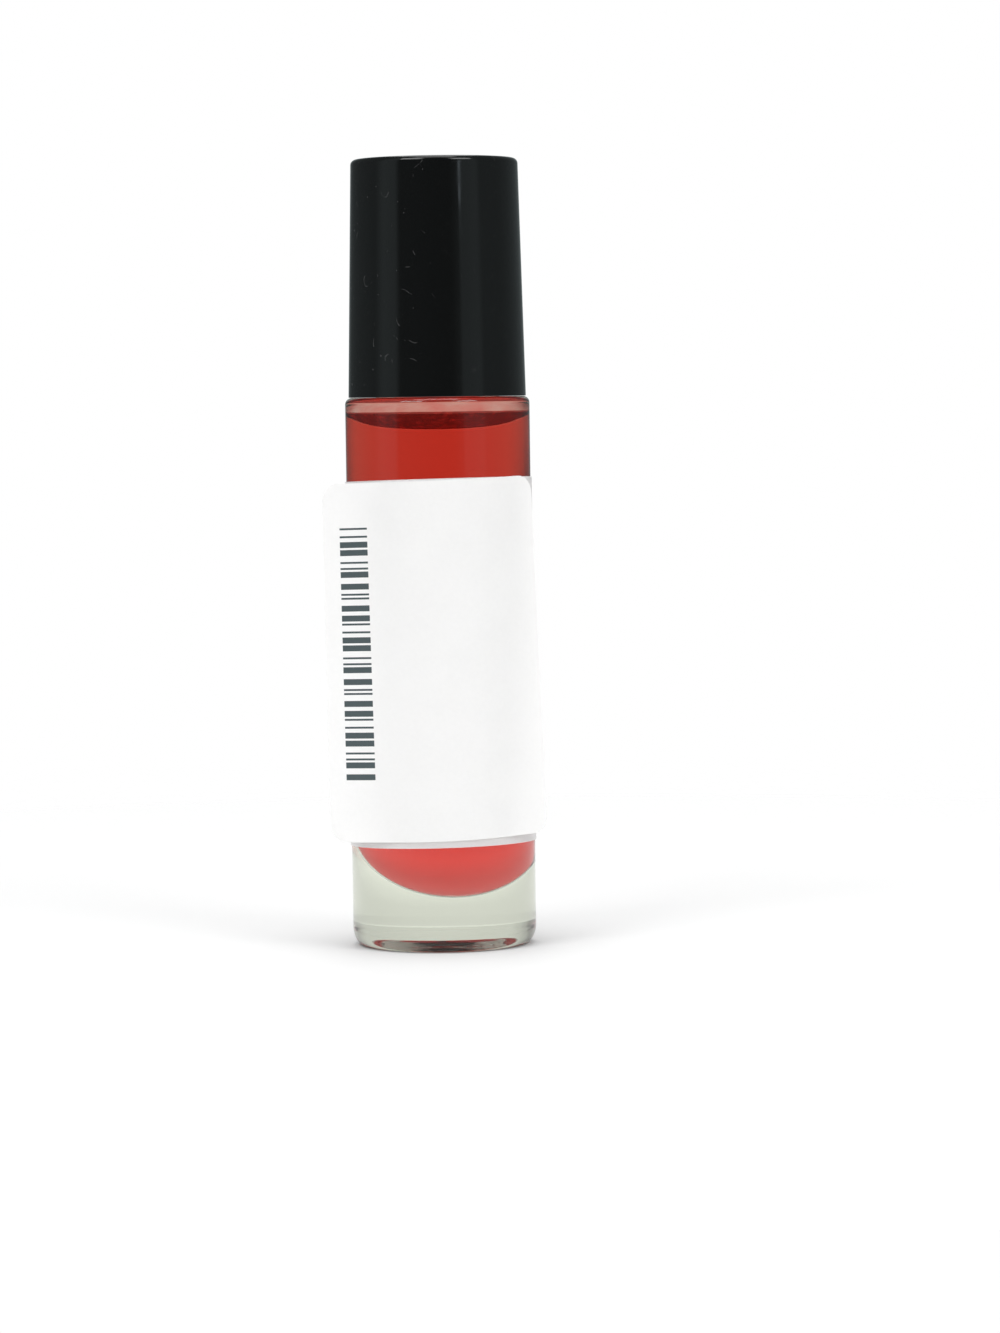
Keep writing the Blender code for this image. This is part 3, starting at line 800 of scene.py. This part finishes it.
class PERFUME_OT_oil(bpy.types.Operator):
    """Make the oil and its surface"""

    bl_idname = "perfume.oil"
    bl_label = "Perfume oil"

    def execute(self, context):
        s = context.scene.perfume_glass
        oil = context.scene.perfume_oil
        side = roof(s, s.roof_start, oil.wall_height - oil.gap, oil.gap)[1:]
        shape = spun(oil_surface(s, oil, oil.gap) + side + bowl(s, oil.gap))
        lean_cavity(shape, s)
        film = spun(oil_surface(s, oil, 0))
        if sum(face.normal.z for face in film.faces) < 0:
            bmesh.ops.reverse_faces(film, faces=film.faces)
        for face in film.faces:
            face.material_index = OIL_SURFACE
        sheet = bpy.data.meshes.new("oil_film")
        film.to_mesh(sheet)
        film.free()
        shape.from_mesh(sheet)
        bpy.data.meshes.remove(sheet)
        materials = [oil_body(oil), oil_film(oil)]
        finished(shape, "red_perfume_oil", materials, "bottle", "perfume_oil")
        return {"FINISHED"}


def housing_profile(s, glass):
    """The roller housing in section, from its rim down the outside and back up the inside."""
    socket = s.ball_radius + s.socket_gap
    flange_bottom = glass.neck_top + s.flange_gap
    flange_top = flange_bottom + s.flange_thickness
    lip_share = (housing_high.z - s.ball_height) / socket
    seat_radius = socket * s.seat_share
    seat_bottom = s.ball_height - socket * math.sqrt(1 - s.seat_share**2) - s.seat_thickness
    rim = (s.collar_radius - s.collar_round, housing_high.z - s.collar_round)
    edge = s.collar_round / 2
    profile = arc(rim, (s.collar_round, s.collar_round), 90, 0)
    root = (s.collar_radius + edge, flange_top + edge)
    profile += arc(root, (edge, edge), 180, 270)
    outer = (s.flange_radius - edge, flange_top - edge)
    profile += arc(outer, (edge, edge), 90, 0)
    profile += [(s.flange_radius, flange_bottom), (s.plug_radius, flange_bottom)]
    foot = housing_low.z
    bore = s.plug_radius - s.plug_wall
    profile += [(s.plug_radius, foot + s.collar_round), (s.plug_radius - s.collar_round, foot)]
    profile += [(bore, foot), (bore, seat_bottom), (seat_radius, seat_bottom)]
    seat_angle = math.degrees(math.acos(s.seat_share))
    lip_angle = math.degrees(math.asin(lip_share))
    profile += arc((0, s.ball_height), (socket, socket), -seat_angle, lip_angle, BOWL_STEPS)
    return profile


class PERFUME_OT_roller(bpy.types.Operator):
    """Make the roller ball and its housing"""

    bl_idname = "perfume.roller"
    bl_label = "Roller ball and housing"

    def execute(self, context):
        s = context.scene.perfume_roller
        glass = context.scene.perfume_glass
        shape = spun(housing_profile(s, glass), ring=True)
        milky = moulded_plastic("housing_plastic", s.housing_shade, roughness=0.42)
        finished(shape, "roller_seat", [milky], "bottle", "roller_housing")
        ball = bmesh.new()
        bmesh.ops.create_uvsphere(
            ball, u_segments=BALL_SEGMENTS, v_segments=BALL_RINGS, radius=s.ball_radius
        )
        bmesh.ops.translate(ball, verts=ball.verts, vec=(0, 0, s.ball_height))
        finished(ball, "steel_ball", [ball_steel(s)], "ball", "roller_ball")
        return {"FINISHED"}


def narrowing(s, height):
    """How much narrower the cap is at a height than at its mouth."""
    return s.taper * (height - s.mouth_height) / (s.top_height - s.mouth_height)


def shell_profile(s):
    """The cap shell in section, from the middle of its top round to the middle of its ceiling."""
    top_radius = s.mouth_radius - s.taper
    bore = s.mouth_radius - s.wall
    ceiling = s.top_height - s.top_thickness
    profile = [(0, s.top_height)]
    edge = (top_radius - s.top_round, s.top_height - s.top_round)
    profile += arc(edge, (s.top_round, s.top_round), 90, 0, ARC_STEPS * 2)
    lip = (s.mouth_radius - s.mouth_round, s.mouth_height + s.mouth_round)
    profile += arc(lip, (s.mouth_round, s.mouth_round), 0, -90)
    inner = (bore + s.mouth_round, s.mouth_height + s.mouth_round)
    profile += arc(inner, (s.mouth_round, s.mouth_round), -90, -180)
    profile += [(bore - narrowing(s, ceiling), ceiling), (0, ceiling)]
    return profile


def liner_profile(s, glass):
    """The liner in section, from the middle of its top round to the middle of its ceiling."""
    mouth = liner_low.z
    outside = liner_high.x + narrowing(s, mouth)
    step_height = glass.neck_top + s.mouth_round
    step_radius = s.liner_bore - s.liner_step
    ceiling = liner_high.z - s.liner_top
    seal_inside = s.seal_radius - s.seal_wall
    seal_bottom = housing_high.z + s.mouth_round
    profile = [(0, liner_high.z), (outside - narrowing(s, liner_high.z), liner_high.z)]
    profile += [(outside - narrowing(s, mouth), mouth)]
    profile += rows(s.liner_bore, s.liner_bore, mouth, step_height, NECK_ROWS)
    profile += [(step_radius, step_height), (step_radius, ceiling), (s.seal_radius, ceiling)]
    skirt = ((s.seal_radius + seal_inside) / 2, seal_bottom + s.seal_wall / 2)
    profile += arc(skirt, (s.seal_wall / 2, s.seal_wall / 2), 0, -180)
    profile += [(seal_inside, ceiling), (0, ceiling)]
    return profile


class PERFUME_OT_cap(bpy.types.Operator):
    """Make the cap shell and its liner"""

    bl_idname = "perfume.cap"
    bl_label = "Cap shell and liner"

    def execute(self, context):
        s = context.scene.perfume_cap
        glass = context.scene.perfume_glass
        shell = spun(shell_profile(s))
        finished(shell, "cap_outer", [black_gloss(s)], "cap", "cap_shell")
        liner = spun(liner_profile(s, glass))
        ridge = glass.thread_width * s.liner_ridge
        raise_thread(liner, glass, s.liner_bore, -s.liner_thread, ridge, lag=0.5)
        white = moulded_plastic("liner_plastic", s.liner_shade, roughness=0.38)
        finished(liner, "cap_inner", [white], "cap", "cap_liner")
        return {"FINISHED"}


def sheet_grid(width, height, columns, row_count):
    """A flat sheet in a bmesh, centred, with X across it and Y up."""
    shape = bmesh.new()
    bmesh.ops.create_grid(shape, x_segments=columns, y_segments=row_count, size=1)
    bmesh.ops.scale(shape, verts=shape.verts, vec=(width / 2, height / 2, 1))
    return shape


def cut_across(shape, places, axis):
    """Cuts a flat sheet at the given places along an axis."""
    for place in places:
        cut(shape, axis * place, axis)


def thicken(shape, thickness):
    """Gives an outward-facing sheet its thickness, outwards."""
    for face in shape.faces:
        face.normal_update()
    bmesh.ops.solidify(shape, geom=list(shape.faces), thickness=-thickness)
    bmesh.ops.recalc_face_normals(shape, faces=shape.faces)


def wrap_label(s, glass):
    """The label, bent round the glass until its end laps over its start at the back."""
    radius = glass.body_radius + s.glue
    around = 2 * math.pi * radius
    unrolled = around + s.label_overlap
    shape = sheet_grid(unrolled, s.label_height, LABEL_COLUMNS, LABEL_ROWS)
    climb = LAP_CLIMB * s.label_overlap
    lift = s.paper + s.glue
    for vertex in shape.verts:
        along = vertex.co.x + unrolled / 2
        angle = along / radius + math.pi / 2
        reach = radius + lift * eased((along - around + climb) / climb)
        x = reach * math.cos(angle)
        y = reach * math.sin(angle)
        rise = math.tan(s.label_skew) * x - math.tan(s.label_tip) * (y + radius)
        vertex.co = (x, y, s.label_bottom + s.label_height / 2 + vertex.co.y + rise)
    return shape


def laid_on_bottle(s, radius, across, up):
    """Where a point of the sticker comes to lie: round the bottle, then straight on as a wing."""
    above = up / (s.height / 2)
    first = s.held_from - s.left_twist * above
    last = s.held_to + s.right_twist * above
    unrolled = s.held_from + (across + s.width / 2 - s.left_wing) / radius
    angle = clamped(unrolled, first, last)
    free = (unrolled - angle) * radius
    x = radius * math.sin(angle) + free * math.cos(angle)
    y = free * math.sin(angle) - radius * math.cos(angle)
    return x, y


def bar_edges(s):
    """The heights of the printed bars' lower and upper edges, by a rule of uneven steps."""
    marks = []
    at = 0
    for index in range(s.bar_count):
        thick = 1 + (index * index + 3 * index) % 4
        space = 1 + (index * 5 + 2) % 3
        marks.append((at, at + thick))
        at += thick + space
    total = marks[-1][1]
    top = s.height / 2 - s.bars_top
    scale = s.bars_height / total
    return [(top - high * scale, top - low * scale) for low, high in marks]


def flat_sticker(s):
    """The sticker before it is laid on, with the faces of its printed bars marked."""
    shape = sheet_grid(s.width, s.height, 1, 1)
    bmesh.ops.bevel(
        shape,
        geom=list(shape.verts),
        offset=s.corner,
        segments=CORNER_STEPS,
        profile=0.5,
        affect="VERTICES",
        material=-1,
    )
    across, up = Vector((1, 0, 0)), Vector((0, 1, 0))
    left = s.bars_left - s.width / 2
    right = left + s.bars_width
    bars = bar_edges(s)
    cut_across(shape, [left, right], across)
    cut_across(shape, [edge for bar in bars for edge in bar], up)
    for face in shape.faces:
        middle = face.calc_center_median()
        printed = any(low < middle.y < high for low, high in bars)
        face.material_index = PRINTED if printed and left < middle.x < right else BLANK
    bmesh.ops.rotate(shape, verts=shape.verts, cent=(0, 0, 0), matrix=Matrix.Rotation(s.skew, 3, "Z"))
    folds = [s.width * (n / STICKER_COLUMNS - 0.5) for n in range(1, STICKER_COLUMNS)]
    cut_across(shape, folds, across)
    return shape


def laid_sticker(s, glass):
    """The sticker laid over the label, with its print on the front alone."""
    radius = glass.body_radius + 2 * s.glue + s.paper
    shape = flat_sticker(s)
    for vertex in shape.verts:
        up = vertex.co.y
        x, y = laid_on_bottle(s, radius, vertex.co.x, up)
        vertex.co = (x, y, s.middle + up)
    thicken(shape, s.paper)
    for face in shape.faces:
        face.normal_update()
        if face.normal.y > 0:
            face.material_index = BLANK
    return shape


class PERFUME_OT_labels(bpy.types.Operator):
    """Make the label round the glass and the sticker over it"""

    bl_idname = "perfume.labels"
    bl_label = "Labels"

    def execute(self, context):
        s = context.scene.perfume_labels
        glass = context.scene.perfume_glass
        label = wrap_label(s, glass)
        bmesh.ops.recalc_face_normals(label, faces=label.faces)
        thicken(label, s.paper)
        # The label's base colour holds a faint painted pink of the oil's light.
        paper = label_paper("label_paper", s.label_shade_painted_pink, roughness=0.45, depth=0.7)
        finished(label, "label_round_glass", [paper], "bottle", "wrap_label")
        sticker = laid_sticker(s, glass)
        paper = label_paper("sticker_paper", s.paper_shade, roughness=0.5, depth=0.2)
        materials = [paper, print_ink(s)]
        finished(sticker, "sticker_with_bars", materials, "bottle", "barcode_sticker")
        return {"FINISHED"}


def floor_material(s):
    """A plain pale floor that fades out at its rim, with a painted shadow close behind the glass, where it
    is seen through it.
    """
    material, nodes, shader, where = new_material("pale_floor", base=s.floor_shade, Roughness=0.8)
    away = nodes.add("ShaderNodeVectorMath", operation="LENGTH")
    nodes.feed(away, 0, where)
    fade = nodes.spread(away.outputs["Value"], s.floor_near, s.floor_radius, to_low=1.0, to_high=0.0)
    fade.node.interpolation_type = "SMOOTHERSTEP"
    nodes.feed(shader, "Alpha", fade)
    # Painted shadow: rays through the glass find the floor close behind the bottle darker, in place of the
    # bottle's shadow.
    through = nodes.add("ShaderNodeLightPath").outputs["Is Transmission Ray"]
    close = nodes.spread(nodes.along(where, "Y"), s.painted_shadow_full, s.painted_shadow_end, to_low=1.0, to_high=0.0)
    seen = nodes.math("MULTIPLY", through, close)
    dimmed = toned(s.floor_shade, s.painted_shadow_share)
    nodes.feed(shader, "Base Color", nodes.blend(seen, s.floor_shade, dimmed))
    return material


def area_lamp(name, azimuth, elevation, distance, width, height, radiance, tint):
    """A soft lamp that faces the bottle from a direction seen from it, in degrees from -Y."""
    side, up = math.radians(azimuth), math.radians(elevation)
    away = Vector((math.sin(side) * math.cos(up), -math.cos(side) * math.cos(up), math.sin(up)))
    data = bpy.data.lights.new(name, "AREA")
    data.shape = "RECTANGLE"
    data.size = width
    data.size_y = height
    data.energy = radiance * math.pi * width * height
    data.color = tint
    lamp = bpy.data.objects.new(name, data)
    lamp.location = LAMP_AIM + away * distance
    lamp.rotation_euler = away.to_track_quat("Z", "Y").to_euler()
    bpy.context.scene.collection.objects.link(lamp)


def studio_ramp(nodes, direction, stops, tint=WHITE):
    """Brightness by compass direction, from stops of degrees to the right of -Y and brightness."""
    around = nodes.add("ShaderNodeTexGradient", gradient_type="RADIAL", Vector=direction)
    ramp = nodes.add("ShaderNodeValToRGB", Fac=around.outputs["Fac"])
    ramp.color_ramp.interpolation = "EASE"
    elements = ramp.color_ramp.elements
    while len(elements) > 1:
        elements.remove(elements[-1])
    # The gradient is 0.5 towards +X and grows anticlockwise, seen from above
    for index, (degrees, light) in enumerate(stops):
        place = ((degrees - 90) / 360 + 0.5) % 1
        element = elements[0] if index == 0 else elements.new(place)
        element.position = place
        element.color = (light * tint[0], light * tint[1], light * tint[2], 1)
    return ramp.outputs["Color"]


def studio_world():
    """A white surround for the camera, a room for glass and gloss to show, and even light for the rest."""
    world = bpy.data.worlds.new("studio")
    world.use_nodes = True
    tree = world.node_tree
    tree.nodes.clear()
    nodes = Nodes(tree)
    direction = nodes.add("ShaderNodeTexCoord").outputs["Generated"]
    rays = nodes.add("ShaderNodeLightPath")
    room = studio_ramp(nodes, direction, ROOM_IN_GLOSS, ROOM_TINT)
    behind = studio_ramp(nodes, direction, ROOM_BEHIND_GLASS)
    low = nodes.spread(nodes.along(direction, "Z"), low=-0.06, high=-0.01, to_low=0.5, to_high=0.0)
    lifted = nodes.blend(low, behind, LOW_GLOW)
    lit = nodes.blend(rays.outputs["Is Glossy Ray"], EVEN_LIGHT, room)
    seen_through = nodes.blend(rays.outputs["Is Transmission Ray"], lit, lifted)
    shown = nodes.blend(rays.outputs["Is Camera Ray"], seen_through, WHITE)
    background = nodes.add("ShaderNodeBackground", Color=shown)
    output = nodes.add("ShaderNodeOutputWorld")
    tree.links.new(background.outputs[0], output.inputs["Surface"])
    bpy.context.scene.world = world


def place_camera(s):
    """The camera at the photograph's angle, looking slightly down, with the bottle left of centre."""
    data = bpy.data.cameras.new("camera")
    data.sensor_width = SENSOR
    data.lens = s.focal_length
    data.clip_start = s.camera_distance / SIGHT_REACH
    data.clip_end = s.camera_distance * SIGHT_REACH
    camera = bpy.data.objects.new("camera", data)
    bpy.context.scene.collection.objects.link(camera)
    turned = Matrix.Rotation(-s.yaw, 4, "Z") @ Matrix.Rotation(math.pi / 2 - s.pitch, 4, "X")
    rolled = turned @ Matrix.Rotation(-s.roll, 4, "Z")
    camera.matrix_world = Matrix.Translation((0, -s.camera_distance, s.eye_height)) @ rolled
    bpy.context.scene.camera = camera


def make_floor(s):
    """The round floor."""
    disc = bmesh.new()
    bmesh.ops.create_circle(disc, cap_ends=True, segments=FLOOR_STEPS, radius=s.floor_radius)
    mesh = bpy.data.meshes.new("floor")
    disc.to_mesh(mesh)
    disc.free()
    mesh.materials.append(floor_material(s))
    floor = bpy.data.objects.new("floor", mesh)
    floor.location.z = -s.floor_gap
    bpy.context.scene.collection.objects.link(floor)


class PERFUME_OT_stage(bpy.types.Operator):
    """Make the floor, the light and the camera"""

    bl_idname = "perfume.stage"
    bl_label = "Stage"

    def execute(self, context):
        s = context.scene.perfume_stage
        make_floor(s)
        for lamp in LAMPS:
            area_lamp(*lamp)
        studio_world()
        place_camera(s)
        context.scene.view_settings.view_transform = "Standard"
        return {"FINISHED"}


class PERFUME_PT_panel(bpy.types.Panel):
    """The bottle's operators and sizes in the sidebar"""

    bl_label = "Perfume Bottle"
    bl_idname = "PERFUME_PT_panel"
    bl_space_type = "VIEW_3D"
    bl_region_type = "UI"
    bl_category = "Perfume Bottle"

    def draw(self, context):
        layout = self.layout
        for operator in OPERATORS:
            layout.operator(operator.bl_idname, text=operator.bl_label)
        for name, group in SETTINGS:
            box = layout.box()
            box.label(text=group.__doc__)
            settings = getattr(context.scene, name)
            for key in group.__annotations__:
                box.prop(settings, key)


OPERATORS = (
    PERFUME_OT_glass,
    PERFUME_OT_oil,
    PERFUME_OT_roller,
    PERFUME_OT_cap,
    PERFUME_OT_labels,
    PERFUME_OT_stage,
)

SETTINGS = (
    ("perfume_glass", GlassSettings),
    ("perfume_oil", OilSettings),
    ("perfume_roller", RollerSettings),
    ("perfume_cap", CapSettings),
    ("perfume_labels", LabelSettings),
    ("perfume_stage", StageSettings),
)


def register():
    """Registers the settings, the operators and the panel."""
    for name, group in SETTINGS:
        bpy.utils.register_class(group)
        setattr(bpy.types.Scene, name, PointerProperty(type=group))
    for operator in OPERATORS:
        bpy.utils.register_class(operator)
    bpy.utils.register_class(PERFUME_PT_panel)


def unregister():
    """Takes them away again."""
    bpy.utils.unregister_class(PERFUME_PT_panel)
    for operator in reversed(OPERATORS):
        bpy.utils.unregister_class(operator)
    for name, group in reversed(SETTINGS):
        delattr(bpy.types.Scene, name)
        bpy.utils.unregister_class(group)


def main():
    """Makes every piece and the stage."""
    register()
    bpy.ops.perfume.glass()
    bpy.ops.perfume.oil()
    bpy.ops.perfume.roller()
    bpy.ops.perfume.cap()
    bpy.ops.perfume.labels()
    bpy.ops.perfume.stage()


if __name__ == "__main__":
    main()
